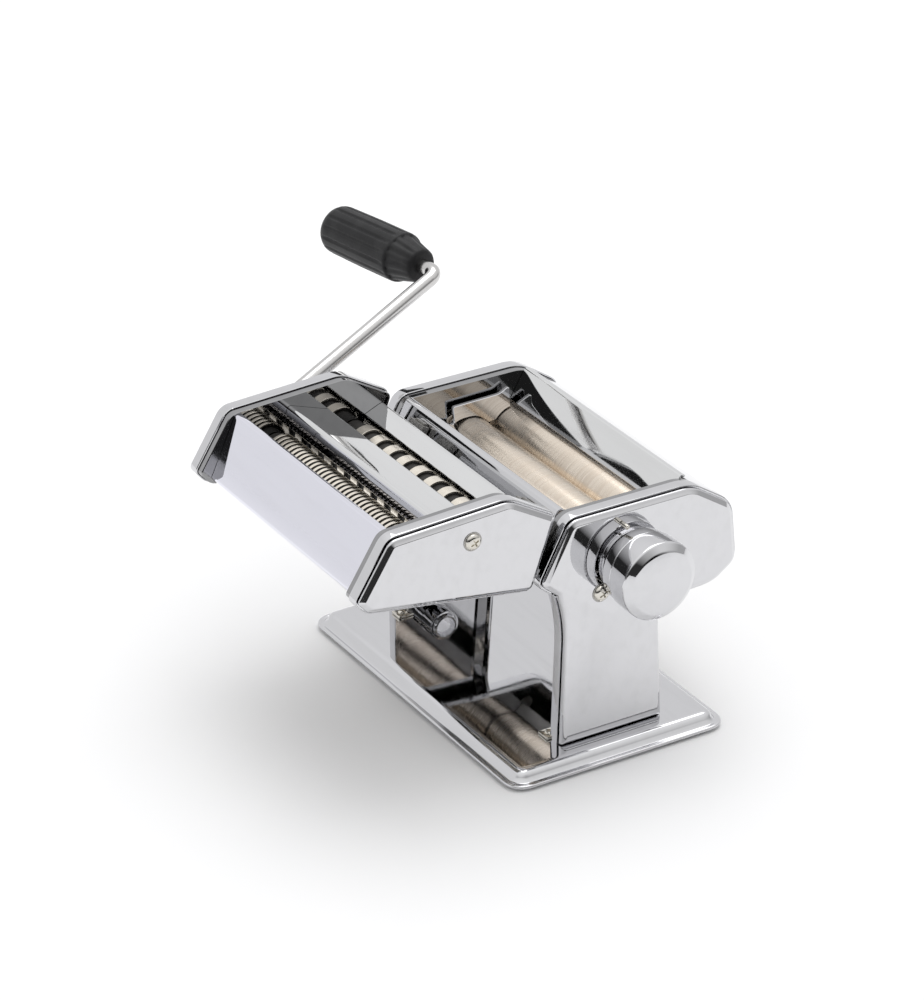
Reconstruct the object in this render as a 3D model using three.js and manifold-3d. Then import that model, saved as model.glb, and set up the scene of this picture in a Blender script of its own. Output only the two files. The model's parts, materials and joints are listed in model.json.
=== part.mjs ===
// Hand-cranked pasta machine: a sheeting body on two legs and a pressed base, with a
// lift-off cutter head on its front. Millimetres, +Z up, +X along the rollers towards the knob.
import * as THREE from "three";
import { mergeVertices } from "three/addons/utils/BufferGeometryUtils.js";
import Module from "manifold-3d";

const wasm = await Module();
wasm.setup();

// ---------------------------------------------------------------- driving dimensions
const GAP = 0.3; // air between two fixed pieces that meet
const BASE = { length: 200, depth: 128, corner: 12, rim: 1.6, step: 6, top: 8.5, sheet: 1.2 };
const FOOT = { height: 1.5, radius: 7, x: 84, y: 48 };
const SIDE = { inner: 75, lip: 6.4, face: 84.5, ledge: 1.2, bevel: 2.8, wall: 3, skin: 2 };
const BEARING = { inner: 71, outer: 73.5, inset: 3.3 };
const SHEET = { half: 70.6, thick: 1 };
const ROLLER = { radius: 13.6, half: 70.4, y: 12.3, z: 102.7, pitch: 27.6, journal: 5 };
const OPENING_TRAVEL = 2.4; // how far the front roller can back away
const KNOB = { radius: 21, start: 95.3, shoulder: 109, nose: 113, collar: 17, bore: 5.3 };
const CAM = { radius: 11.5, inner: 5, sweep: (5 * Math.PI) / 3 };
const NARROW = { y: -117.8, z: 127, pitch: 18, radius: 8.85 };
const WIDE = { y: -72.7, z: 123, pitch: 18, radius: 9.9, core: 7.8, ring: 6.3, step: 13 };
const CUTTER_JOURNAL = 5.4;
const GEAR = { inner: 76.3, outer: 81.3 };
const SOCKET = { radius: 3.9, plug: 3.5, mouth: 86, floor: 71.5, hub: 6.2 };
const CRANK = { lean: 7.6, rise: 23.2, arm: 131.6, radius: 4, hub: 94.5, bend: 12, grip: 89 };
const HEAD_SLOPE = THREE.MathUtils.degToRad(27.3); // the head lifts this far from the vertical
const RAIL = { x: 50, y: -31.9, z: 120.7, width: 8, thick: 2.2, length: 24 };
const SCREW = { y: -5.6, z: 90.3 };
const HEAD_SCREW = { y: -80, z: 139.3 };
const CLAMP = { y: 2, z: 24, radius: 8.5, bore: 5.5 };

// Values that follow from those above.
const THROUGH = [SIDE.inner, SIDE.face + 3]; // a cut right through a side plate
const REAR_AXIS = { y: ROLLER.y + ROLLER.pitch, z: ROLLER.z };
const TEETH = { roller: 16, pinion: 8, cutter: 12 };
const ROLLER_PITCH_RADIUS = ROLLER.pitch / 2;
const PINION_PITCH_RADIUS = (ROLLER_PITCH_RADIUS * TEETH.pinion) / TEETH.roller;
const PINION_SLACK = 0.8; // play between the pinion's teeth and the roller gear's
const PINION_DIRECTION = THREE.MathUtils.degToRad(-50);
const PINION_REACH = ROLLER_PITCH_RADIUS + PINION_PITCH_RADIUS + PINION_SLACK;
const PINION = {
  y: REAR_AXIS.y + PINION_REACH * Math.cos(PINION_DIRECTION),
  z: REAR_AXIS.z + PINION_REACH * Math.sin(PINION_DIRECTION),
};

// Outlines of the two side plates, as [y, z, corner radius], seen from +X.
const BODY_OUTLINE = [
  [-24, 134.8, 6], [-41, 101.8, 5], [-24, 88, 4], [0, 72, 4], [63.5, 75.2, 6],
  [77.3, 85, 6], [73.5, 118.5, 8], [48.5, 134.8, 8],
];
const LEG_OUTLINE = [
  [-33, 101, 2], [-26, 77, 14], [-27.5, BASE.top + GAP, 0], [34.6, BASE.top + GAP, 0],
  [31, 66, 4], [36, 90, 2], [10, 106, 2],
];
const HEAD_OUTLINE = [
  [-125, 152, 5], [-143.5, 122, 3], [-137, 114.5, 4], [-44.2, 100.7, 5], [-30.5, 139.5, 4],
  [-58, 155.3, 6],
];

const finish = (color, roughness, metalness) =>
  new THREE.MeshStandardMaterial({ color, roughness, metalness });
const chrome = finish(0xd8d8dc, 0.08, 1);
const steel = finish(0xb9b4a8, 0.35, 1);
const satin = finish(0xe6dccb, 0.3, 1);
const nickel = finish(0xc9c4b4, 0.2, 1);
const rubber = finish(0x202020, 0.9, 0);
const plastic = finish(0x1b1b1d, 0.45, 0);

// ---------------------------------------------------------------- geometry helpers
/** Welds a geometry's vertices by position and drops the triangles that collapse. */
function weld(geometry) {
  const bare = geometry.clone();
  bare.deleteAttribute("normal");
  bare.deleteAttribute("uv");
  const merged = mergeVertices(bare, 1e-4);
  const kept = [];
  for (let i = 0; i < merged.index.count; i += 3) {
    const [a, b, c] = [0, 1, 2].map((k) => merged.index.getX(i + k));
    if (a !== b && b !== c && c !== a) kept.push(a, b, c);
  }
  return merged.setIndex(kept);
}

/** A welded geometry as a solid that can be joined and cut. */
function toSolid(geometry) {
  const closed = weld(geometry);
  return new wasm.Manifold(
    new wasm.Mesh({
      numProp: 3,
      vertProperties: new Float32Array(closed.attributes.position.array),
      triVerts: new Uint32Array(closed.index.array),
    }),
  );
}

/** The joined geometries in `adds`, less those in `cuts`, as one geometry. */
function carve(adds, cuts = []) {
  let solid = adds.map(toSolid).reduce((sum, next) => sum.add(next));
  for (const cut of cuts) solid = solid.subtract(toSolid(cut));
  const { vertProperties, triVerts } = solid.getMesh();
  return new THREE.BufferGeometry()
    .setAttribute("position", new THREE.BufferAttribute(new Float32Array(vertProperties), 3))
    .setIndex(new THREE.BufferAttribute(new Uint32Array(triVerts), 1));
}

/** A named mesh of one sub-part. */
function piece(name, geometry, material) {
  const mesh = new THREE.Mesh(weld(geometry), material);
  mesh.name = name;
  return mesh;
}

/** The mirror image of a sub-part on the other end of the machine. */
function mirrored(name, mesh) {
  const twin = new THREE.Mesh(mesh.geometry, mesh.material);
  twin.name = name;
  twin.scale.x = -1;
  return twin;
}

/** An outline moved inwards by `distance`; its corners keep their radii, less the distance. */
function inset(outline, distance) {
  const area = THREE.ShapeUtils.area(outline.map(([y, z]) => new THREE.Vector2(y, z)));
  const turn = Math.sign(area);
  const count = outline.length;
  const edges = outline.map(([y, z], i) => {
    const [ny, nz] = outline[(i + 1) % count];
    const length = Math.hypot(ny - y, nz - z);
    const [dy, dz] = [(ny - y) / length, (nz - z) / length];
    return { y: y - dz * turn * distance, z: z + dy * turn * distance, dy, dz };
  });
  return outline.map(([, , radius], i) => {
    const a = edges[(i + count - 1) % count];
    const b = edges[i];
    const cross = a.dy * b.dz - a.dz * b.dy;
    const t = ((b.y - a.y) * b.dz - (b.z - a.z) * b.dy) / cross;
    return [a.y + a.dy * t, a.z + a.dz * t, Math.max(radius - distance, 0.5)];
  });
}

/** A closed shape through [y, z, radius] corners, each rounded by a curve. */
function roundedShape(outline) {
  const points = outline.map(([y, z]) => new THREE.Vector2(y, z));
  if (THREE.ShapeUtils.area(points) < 0) outline = [...outline].reverse();
  const shape = new THREE.Shape();
  outline.forEach(([y, z, radius = 0], i) => {
    const corner = new THREE.Vector2(y, z);
    const towards = (j) => {
      const [oy, oz] = outline[(j + outline.length) % outline.length];
      return new THREE.Vector2(oy, oz).sub(corner).setLength(Math.max(radius, 1e-3)).add(corner);
    };
    const from = towards(i - 1);
    const to = towards(i + 1);
    if (i === 0) shape.moveTo(from.x, from.y);
    else shape.lineTo(from.x, from.y);
    if (radius > 0) shape.quadraticCurveTo(y, z, to.x, to.y);
  });
  return shape;
}

// Turns a geometry made in (y, z, x) order into (x, y, z) order.
const TO_X_AXIS = new THREE.Matrix4().set(0, 0, 1, 0, 1, 0, 0, 0, 0, 1, 0, 0, 0, 0, 0, 1);

/** A shape in the YZ plane, extruded from x0 to x1, with an optional bevel at both ends. */
function prism(shape, x0, x1, bevel = null) {
  const thick = bevel ? bevel.thickness : 0;
  return new THREE.ExtrudeGeometry(shape, {
    depth: x1 - x0 - 2 * thick,
    curveSegments: 3,
    bevelEnabled: Boolean(bevel),
    bevelThickness: thick,
    bevelSize: bevel ? bevel.size : 0,
    bevelSegments: 1,
  })
    .translate(0, 0, x0 + thick)
    .applyMatrix4(TO_X_AXIS);
}

/** A bent sheet of constant thickness along a line of [y, z] points, from -half to +half. */
function foldedSheet(points, half, thick = SHEET.thick) {
  const line = points.map(([y, z]) => new THREE.Vector2(y, z));
  const normalAt = (i) => {
    const before = line[i].clone().sub(line[Math.max(i - 1, 0)]);
    const after = line[Math.min(i + 1, line.length - 1)].clone().sub(line[i]);
    const along = before.normalize().add(after.normalize()).normalize();
    return new THREE.Vector2(-along.y, along.x).multiplyScalar(thick);
  };
  const back = line.map((p, i) => p.clone().add(normalAt(i))).reverse();
  const outline = [...line, ...back].map((p) => [p.x, p.y, 0]);
  return prism(roundedShape(outline), -half, half);
}

/** A turned shape about a line parallel to X through (y, z); the profile is [x, radius] points. */
function turned(profile, y, z, segments = 20) {
  const points = profile.map(([x, radius]) => new THREE.Vector2(radius, x));
  return new THREE.LatheGeometry(points, segments).rotateZ(-Math.PI / 2).translate(0, y, z);
}

/** A round bar along X between x0 and x1. */
const bar = (radius, x0, x1, y, z, segments = 16) =>
  turned([[x0, 0], [x0, radius], [x1, radius], [x1, 0]], y, z, segments);

/** A rectangle with rounded corners, centred on the origin. */
function roundedRectangle(width, depth, corner) {
  const [x, y] = [width / 2, depth / 2];
  return roundedShape([[-x, -y, corner], [x, -y, corner], [x, y, corner], [-x, y, corner]]);
}

/** The outline of a spur gear; `phase` is the angle of one tooth. */
function gearShape(teeth, pitchRadius, phase) {
  const pitch = (2 * Math.PI) / teeth;
  const module = (2 * pitchRadius) / teeth;
  const rootRadius = pitchRadius - 1.1 * module;
  const tipRadius = pitchRadius + 0.85 * module;
  const shape = new THREE.Shape();
  const corners = [[-0.27, rootRadius], [-0.1, tipRadius], [0.1, tipRadius], [0.27, rootRadius]];
  for (let tooth = 0; tooth < teeth; tooth++) {
    corners.forEach(([share, radius], i) => {
      const angle = phase + (tooth + share) * pitch;
      const [y, z] = [radius * Math.cos(angle), radius * Math.sin(angle)];
      if (tooth === 0 && i === 0) shape.moveTo(y, z);
      else shape.lineTo(y, z);
    });
  }
  return shape;
}

/** The tooth angle of a gear that meshes with a neighbour, seen from the neighbour. */
function meshPhase(phase, teeth, direction, ownTeeth) {
  const past = (direction - phase) / ((2 * Math.PI) / teeth);
  const share = past - Math.floor(past);
  return direction + Math.PI + ((share + 0.5) * 2 * Math.PI) / ownTeeth;
}

/** A gear blank with a bore, between x0 and x1. */
function gear(teeth, pitchRadius, phase, bore, x0, x1, y, z) {
  const wheel = prism(gearShape(teeth, pitchRadius, phase), x0, x1).translate(0, y, z);
  return carve([wheel], [bar(bore, x0 - 1, x1 + 1, y, z)]);
}

/** A six-sided hole for the crank, from x0 to x1. */
const hexagon = (radius, x0, x1, y, z) => bar(radius, x0, x1, y, z, 6);

// ---------------------------------------------------------------- base and feet
function basePan() {
  const { length, depth, corner, rim, step, top, sheet } = BASE;
  const soft = 2.5; // rounding of the raised tray's edge
  const body = top - 0.5;
  const flange = new THREE.ExtrudeGeometry(roundedRectangle(length, depth, corner), {
    depth: rim,
    curveSegments: 4,
    bevelEnabled: false,
  }).translate(0, 0, FOOT.height);
  const tray = (grow, height, bevel) => {
    const less = 2 * (step + grow + bevel);
    const outline = roundedRectangle(length - less, depth - less, corner - step);
    return new THREE.ExtrudeGeometry(outline, {
      depth: height - 2 * bevel,
      curveSegments: 4,
      bevelEnabled: bevel > 0,
      bevelThickness: bevel,
      bevelSize: bevel,
      bevelSegments: 2,
    });
  };
  const plateau = tray(0, body, soft).translate(0, 0, top - body + soft);
  const hollow = tray(sheet, 20, 0).translate(0, 0, top - sheet - 20);
  return piece("base_pan", carve([flange, plateau], [hollow]), chrome);
}

function feet() {
  const top = BASE.top - BASE.sheet - GAP;
  const places = [[-1, -1], [1, -1], [1, 1], [-1, 1]];
  return places.map(([sx, sy], i) => {
    const foot = new THREE.CylinderGeometry(FOOT.radius, FOOT.radius - 0.8, top, 16);
    foot.rotateX(Math.PI / 2).translate(sx * FOOT.x, sy * FOOT.y, top / 2);
    return piece(`rubber_foot_${i + 1}`, foot, rubber);
  });
}

// ---------------------------------------------------------------- side plates
/** The solids of a dished side plate: a lip, a bevelled raised face and a hollow behind it. */
function dishedPlate(outline) {
  const { inner, lip, face, ledge, bevel, wall } = SIDE;
  const rise = 2.4;
  const top = inset(outline, ledge + bevel);
  return {
    shell: [
      prism(roundedShape(outline), inner, inner + lip),
      prism(roundedShape(top), face - 2 * rise - 0.7, face, { thickness: rise, size: bevel }),
    ],
    hollow: prism(roundedShape(inset(outline, wall)), inner - 1, face - SIDE.skin),
  };
}

function bodySidePlate(name, holes) {
  const plate = dishedPlate(BODY_OUTLINE);
  const leg = prism(roundedShape(LEG_OUTLINE), SIDE.inner, SIDE.face);
  const legHollow = inset(LEG_OUTLINE.map(([y, z, r]) => [y, z < 10 ? -5 : z, r]), SIDE.wall);
  const legCut = prism(roundedShape(legHollow), SIDE.inner - 1, SIDE.face - SIDE.skin);
  return piece(name, carve([...plate.shell, leg], [plate.hollow, legCut, ...holes]), chrome);
}

function sidePlates() {
  const screwHole = bar(2, ...THROUGH, SCREW.y, SCREW.z);
  const near = bodySidePlate("near_side_plate", [
    screwHole, bar(5.6, ...THROUGH, ROLLER.y, ROLLER.z),
  ]);
  const far = bodySidePlate("side_plate", [
    screwHole,
    bar(8.8, ...THROUGH, PINION.y, PINION.z),
    bar(CLAMP.radius + GAP, ...THROUGH, CLAMP.y, CLAMP.z),
  ]);
  return [near, mirrored("far_side_plate", far)];
}

/** A pan-head screw along +X with its head on the face of a side plate. */
function panScrew(name, { y, z }) {
  const seat = SIDE.face + GAP;
  const profile = [
    [seat - 6, 0], [seat - 6, 1.6], [seat, 1.6],
    [seat, 4.3], [seat + 1.2, 4], [seat + 2.1, 2.6], [seat + 2.4, 0],
  ];
  return piece(name, turned(profile, y, z, 20), nickel);
}

function bearingPlates() {
  const { inner, outer, inset: margin } = BEARING;
  const span = [inner - 1, outer + 1];
  const wall = prism(roundedShape(inset(BODY_OUTLINE, margin)), inner, outer);
  const slotRadius = ROLLER.journal + 0.6;
  const slot = [
    bar(slotRadius, ...span, ROLLER.y, ROLLER.z),
    bar(slotRadius, ...span, ROLLER.y - OPENING_TRAVEL, ROLLER.z),
  ];
  const rear = bar(ROLLER.journal + 0.35, ...span, REAR_AXIS.y, REAR_AXIS.z);
  const window = [[-8, 83, 1], [8.5, 83, 1], [8.5, 92, 1], [-8, 92, 1]]; // for the front scraper
  const shared = [...slot, rear, prism(roundedShape(window), ...span)];
  const pinionHole = bar(4.35, ...span, PINION.y, PINION.z);
  const near = piece("near_bearing_plate", carve([wall], shared), steel);
  const far = piece("bearing_plate", carve([wall], [...shared, pinionHole]), steel);
  return [near, mirrored("far_bearing_plate", far)];
}

function clampBush() {
  const { radius, bore, y, z } = CLAMP;
  const [back, front] = [-(SIDE.face + 0.8), -(SIDE.inner - 4)];
  const profile = [[back, bore], [back, radius], [front, radius], [front, bore], [back, bore]];
  return piece("clamp_bush", turned(profile, y, z), chrome);
}

// ---------------------------------------------------------------- hopper and covers
function hopper() {
  const front = [[-36.4, 106], [-22.4, 133.2], [-20.6, 133.6], [1.6, 115.4]];
  const rear = [[40.6, 117.6], [49.6, 133.2], [51.6, 132.6]];
  const rearCover = [[64, 77], [75.8, 85.6], [72.3, 117.8], [53.4, 130.4]];
  return [
    piece("front_hopper_panel", foldedSheet(front, SHEET.half), chrome),
    piece("rear_hopper_panel", foldedSheet(rear, SHEET.half), chrome),
    piece("rear_cover", foldedSheet(rearCover, SHEET.half + 4), chrome),
  ];
}

/** A shoe over the ends of both rollers that keeps the dough off the gears. */
function endGuards() {
  const [x0, x1] = [66.5, 68.5];
  const outline = [
    [2.5, 124.6, 1], [30.7, 125.2, 2], [36.4, 128.4, 2],
    [38, 112, 1], [3.6, 108, 1], [3.2, 117.4, 0.5],
  ];
  const clear = ROLLER.radius + 0.7;
  const cuts = [
    bar(clear, x0 - 1, x1 + 1, ROLLER.y, ROLLER.z, 36),
    bar(clear, x0 - 1, x1 + 1, ROLLER.y - OPENING_TRAVEL, ROLLER.z, 36),
    bar(clear, x0 - 1, x1 + 1, REAR_AXIS.y, REAR_AXIS.z, 36),
  ];
  const shoe = prism(roundedShape(outline), x0, x1);
  const near = piece("near_end_guard", carve([shoe], cuts), chrome);
  return [near, mirrored("far_end_guard", near)];
}

/** A thin blade that rests just off the underside of a roller; `lean` is +1 or -1. */
function scraper(name, centreY, lean, half) {
  const reach = ROLLER.radius + 0.5;
  const angle = -Math.PI / 2 + (lean * Math.PI) / 6;
  const tip = [centreY + reach * Math.cos(angle), ROLLER.z + reach * Math.sin(angle)];
  const root = [tip[0] + lean * 5, tip[1] - 4.6];
  const blade = lean > 0 ? [tip, root] : [root, tip];
  return piece(name, foldedSheet(blade, half, -SHEET.thick), steel);
}

// ---------------------------------------------------------------- smooth rollers and drive
/** A smooth roller with its two journals; the far journal carries a gear. */
function smoothRoller(name, y, nearEnd, farEnd) {
  const { radius, half, journal, z } = ROLLER;
  const edge = 0.4;
  const profile = [
    [-farEnd, 0], [-farEnd, journal],
    [-half, journal], [-half, radius - edge], [-half + edge, radius],
    [half - edge, radius], [half, radius - edge], [half, journal],
    [nearEnd, journal], [nearEnd, 0],
  ];
  return piece(name, turned(profile, y, z, 32), satin);
}

function rollerGears() {
  const rearPhase = meshPhase(0, TEETH.roller, 0, TEETH.roller);
  const pinionPhase = meshPhase(rearPhase, TEETH.roller, PINION_DIRECTION, TEETH.pinion);
  const span = [-GEAR.outer, -GEAR.inner];
  const bore = ROLLER.journal + GAP;
  const wheel = (name, phase, y) =>
    piece(name, gear(TEETH.roller, ROLLER_PITCH_RADIUS, phase, bore, ...span, y, ROLLER.z), steel);
  const { mouth, hub } = SOCKET;
  const centre = [PINION.y, PINION.z];
  const teeth = prism(gearShape(TEETH.pinion, PINION_PITCH_RADIUS, pinionPhase), ...span);
  const pinion = carve(
    [
      teeth.translate(0, ...centre),
      bar(4, -GEAR.inner - 0.5, -BEARING.inner - 0.2, ...centre),
      bar(hub, -mouth, -GEAR.outer + 0.2, ...centre),
    ],
    [hexagon(SOCKET.radius, -mouth - 1, -mouth + 9.5, ...centre)],
  );
  const [back, front] = [-SIDE.face - 0.9, -(SIDE.face - SIDE.skin) + 0.6];
  const [loose, rim] = [hub + GAP, 8.5];
  const ring = [[back, loose], [back, rim], [front, rim], [front, loose], [back, loose]];
  const bush = turned(ring, ...centre);
  return [
    wheel("front_roller_gear", 0, ROLLER.y),
    wheel("rear_roller_gear", rearPhase, REAR_AXIS.y),
    piece("drive_pinion", pinion, steel),
    piece("drive_bush", bush, nickel),
  ];
}

// ---------------------------------------------------------------- gap adjustment
/** A plate that carries one journal of the front roller; the near one has a follower pin. */
function carriers() {
  const outline = [[2.5, 88, 3], [22, 92, 3], [22, 114, 4], [2.5, 114, 4], [-6, 92, 3], [-6, 84, 2]];
  const bore = ROLLER.journal + 0.2;
  const plate = (x0, x1) => prism(roundedShape(outline), x0, x1);
  const near = carve(
    [plate(73.8, 77.8), bar(1.5, 77, 81.6, ROLLER.y - CAM.inner, ROLLER.z, 16)],
    [bar(bore, 73, 79, ROLLER.y, ROLLER.z)],
  );
  const far = carve([plate(-75.9, -73.8)], [bar(bore, -77, -73, ROLLER.y, ROLLER.z)]);
  return [piece("near_roller_carrier", near, steel), piece("far_roller_carrier", far, steel)];
}

/** The cam disc: a spiral slot moves the follower pin outwards as the knob turns. */
function camDisc() {
  const { radius, inner, sweep } = CAM;
  const steps = 16;
  const halfWidth = 1.5 + 0.45;
  const overrun = 0.14;
  const spiral = (side) =>
    Array.from({ length: steps + 1 }, (_, i) => {
      const share = -overrun + (i / steps) * (1 + 2 * overrun);
      const angle = Math.PI - share * sweep;
      const reach = inner + share * OPENING_TRAVEL + side * halfWidth;
      return [reach * Math.cos(angle), reach * Math.sin(angle)];
    });
  const path = [...spiral(1), ...spiral(-1).reverse()];
  const slot = new THREE.Shape(path.map(([y, z]) => new THREE.Vector2(y, z)));
  const centre = [0, ROLLER.y, ROLLER.z];
  const disc = bar(radius, 79, 82.2, ROLLER.y, ROLLER.z, 32);
  const cut = prism(slot, 78, 81.9).translate(...centre);
  const spindle = bar(5, 82, KNOB.shoulder - 1.2, ROLLER.y, ROLLER.z);
  return piece("knob_cam", carve([disc, spindle], [cut]), steel);
}

/** The knob slides and turns on the cam's spindle; its collar stays on the side plate. */
function knob() {
  const { radius, start, shoulder, nose, collar, bore } = KNOB;
  const cap = [
    [shoulder, 0], [shoulder, bore], [start, bore], [start, radius - 0.8], [start + 1, radius],
    [shoulder - 1, radius], [nose - 2.4, 17], [nose - 1.6, 15], [nose - 0.5, 8], [nose, 0],
  ];
  const seat = SIDE.face + GAP;
  const rim = start - GAP;
  const ring = [
    [seat, 8], [seat, collar], [rim - 1, collar], [rim, collar - 1], [rim, 8], [seat, 8],
  ];
  const pinHeight = ROLLER.z + radius + 2;
  return [
    piece("gap_knob", turned(cap, ROLLER.y, ROLLER.z, 28), chrome),
    piece("knob_collar", turned(ring, ROLLER.y, ROLLER.z, 24), chrome),
    piece("index_pin", bar(1.3, seat, seat + 5.2, ROLLER.y - 6.8, pinHeight, 12), nickel),
  ];
}

// ---------------------------------------------------------------- cutter head
function headPlates() {
  const plate = dishedPlate(HEAD_OUTLINE);
  const screw = bar(2, ...THROUGH, HEAD_SCREW.y, HEAD_SCREW.z);
  const hub = SOCKET.hub + 0.4;
  const near = carve(plate.shell, [plate.hollow, screw]);
  const far = carve(plate.shell, [
    plate.hollow,
    screw,
    bar(hub, ...THROUGH, NARROW.y + NARROW.pitch, NARROW.z),
    bar(hub, ...THROUGH, WIDE.y + WIDE.pitch, WIDE.z),
  ]);
  const { inner, outer, inset: margin } = BEARING;
  const axes = [NARROW, WIDE].flatMap(({ y, z, pitch }) => [[y, z], [y + pitch, z]]);
  const wall = prism(roundedShape(inset(HEAD_OUTLINE, margin)), inner, outer);
  const holes = axes.map(([y, z]) => bar(CUTTER_JOURNAL + GAP, inner - 1, outer + 1, y, z));
  const bearing = piece("near_cutter_bearing", carve([wall], holes), steel);
  return [
    piece("near_cutter_plate", near, chrome),
    mirrored("far_cutter_plate", piece("cutter_plate", far, chrome)),
    bearing,
    mirrored("far_cutter_bearing", bearing),
  ];
}

function headPanels() {
  const front = [[-132, 113.4], [-136.4, 119], [-122.2, 150.6], [-118.2, 148.4]];
  const ridge = [[-91, 134.6], [-91.8, 148], [-69.2, 140.2], [-70.4, 136.4]];
  const rear = [[-47.6, 131.7], [-35.4, 137], [-45.6, 103.4]];
  const folded = (line) => foldedSheet(line, SHEET.half, -SHEET.thick);
  return [
    piece("cutter_front_panel", folded(front), chrome),
    piece("cutter_ridge", folded(ridge), chrome),
    piece("cutter_rear_panel", folded(rear), chrome),
  ];
}

/** One cutting roller. `rings` shifts its raised rings by a share of a step, or is null. */
function cutterRoller({ name, set, index, rings, nearEnd, farEnd, socket }) {
  const y = set.y + index * set.pitch;
  const limit = 66;
  const profile = [[-farEnd, 0], [-farEnd, CUTTER_JOURNAL], [-ROLLER.half, CUTTER_JOURNAL]];
  const core = rings === null ? set.radius : set.core;
  profile.push([-ROLLER.half, core]);
  if (rings !== null) {
    for (let x = -limit + rings * set.step; x + set.ring <= limit + 0.1; x += set.step) {
      profile.push([x, core], [x, set.radius], [x + set.ring, set.radius], [x + set.ring, core]);
    }
  }
  profile.push([ROLLER.half, core], [ROLLER.half, CUTTER_JOURNAL], [nearEnd, CUTTER_JOURNAL], [nearEnd, 0]);
  const body = turned(profile, y, set.z, 16);
  if (!socket) return piece(name, body, satin);
  const hub = bar(SOCKET.hub, -SOCKET.mouth, -GEAR.outer - GAP, y, set.z);
  const hole = hexagon(SOCKET.radius, -SOCKET.mouth - 1, -SOCKET.floor, y, set.z);
  return piece(name, carve([body, hub], [hole]), satin);
}

/** A cutting pair with its two gears, at the near (+1) or far (-1) end. */
function cutterPair(label, set, ringed, side) {
  const geared = GEAR.outer + 0.2;
  const plain = BEARING.outer + 0.8;
  const ends = side > 0 ? { nearEnd: geared, farEnd: plain } : { nearEnd: plain, farEnd: geared };
  const through = { ...ends, farEnd: geared + 0.4 };
  const roller = (end, index, rings, reach) =>
    cutterRoller({ name: `${label}_cutter_${end}`, set, index, rings, ...reach });
  const rollers = [
    roller("front", 0, ringed ? 0 : null, { ...ends, socket: false }),
    roller("rear", 1, ringed ? 0.5 : null, { ...through, socket: true }),
  ];
  const phases = [0, meshPhase(0, TEETH.cutter, 0, TEETH.cutter)];
  const span = side > 0 ? [GEAR.inner, GEAR.outer] : [-GEAR.outer, -GEAR.inner];
  const bore = CUTTER_JOURNAL + GAP;
  const gears = phases.map((phase, i) => {
    const y = set.y + i * set.pitch;
    const wheel = gear(TEETH.cutter, set.pitch / 2, phase, bore, ...span, y, set.z);
    return piece(`${label}_gear_${i ? "rear" : "front"}`, wheel, steel);
  });
  return [...rollers, ...gears];
}

/** The combs that lift the cut strands off each cutting roller. */
function combs() {
  const places = [
    ["narrow_comb_front", NARROW, 0, -120], ["narrow_comb_rear", NARROW, 1, -60],
    ["wide_comb_front", WIDE, 0, -120], ["wide_comb_rear", WIDE, 1, -60],
  ];
  return places.map(([name, set, index, degrees]) => {
    const angle = THREE.MathUtils.degToRad(degrees);
    const reach = WIDE.radius + 1.6;
    const y = set.y + index * set.pitch + reach * Math.cos(angle);
    const z = set.z + reach * Math.sin(angle);
    const blade = new THREE.BoxGeometry(2 * SHEET.half, 4.4, 1.2).rotateX(angle - Math.PI / 2);
    return piece(name, blade.translate(0, y, z), steel);
  });
}

/** Channels on the head that ride on rails on the body's front. */
function guides() {
  const { width, thick, length } = RAIL;
  const along = (geometry) => geometry.rotateX(-HEAD_SLOPE).translate(0, RAIL.y, RAIL.z);
  return [1, -1].flatMap((side) => {
    const label = side > 0 ? "near" : "far";
    const x = side * RAIL.x;
    const block = (wide, deep, high, y) =>
      new THREE.BoxGeometry(wide, deep, high).translate(x, y, 0);
    const rail = block(width, thick, length, 0);
    const channel = carve(
      [block(width + 5, thick + 1.4, length - 2, -0.95)],
      [block(width + 1, thick + 1, length + 6, 0)],
    );
    return [
      piece(`${label}_head_rail`, along(rail), steel),
      piece(`${label}_head_shoe`, along(channel), steel),
    ];
  });
}

// ---------------------------------------------------------------- crank
/** A round rod along straight runs joined by curved bends. */
function bentRod(points, radius, bend) {
  const path = new THREE.CurvePath();
  let start = points[0];
  for (let i = 1; i < points.length - 1; i++) {
    const corner = points[i];
    const into = corner.clone().add(points[i - 1].clone().sub(corner).setLength(bend));
    const out = corner.clone().add(points[i + 1].clone().sub(corner).setLength(bend));
    path.add(new THREE.LineCurve3(start, into));
    path.add(new THREE.QuadraticBezierCurve3(into, corner, out));
    start = out;
  }
  path.add(new THREE.LineCurve3(start, points[points.length - 1]));
  const section = new THREE.Shape().absarc(0, 0, radius, 0, 2 * Math.PI);
  return new THREE.ExtrudeGeometry(section, { steps: 36, curveSegments: 4, extrudePath: path });
}

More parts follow.
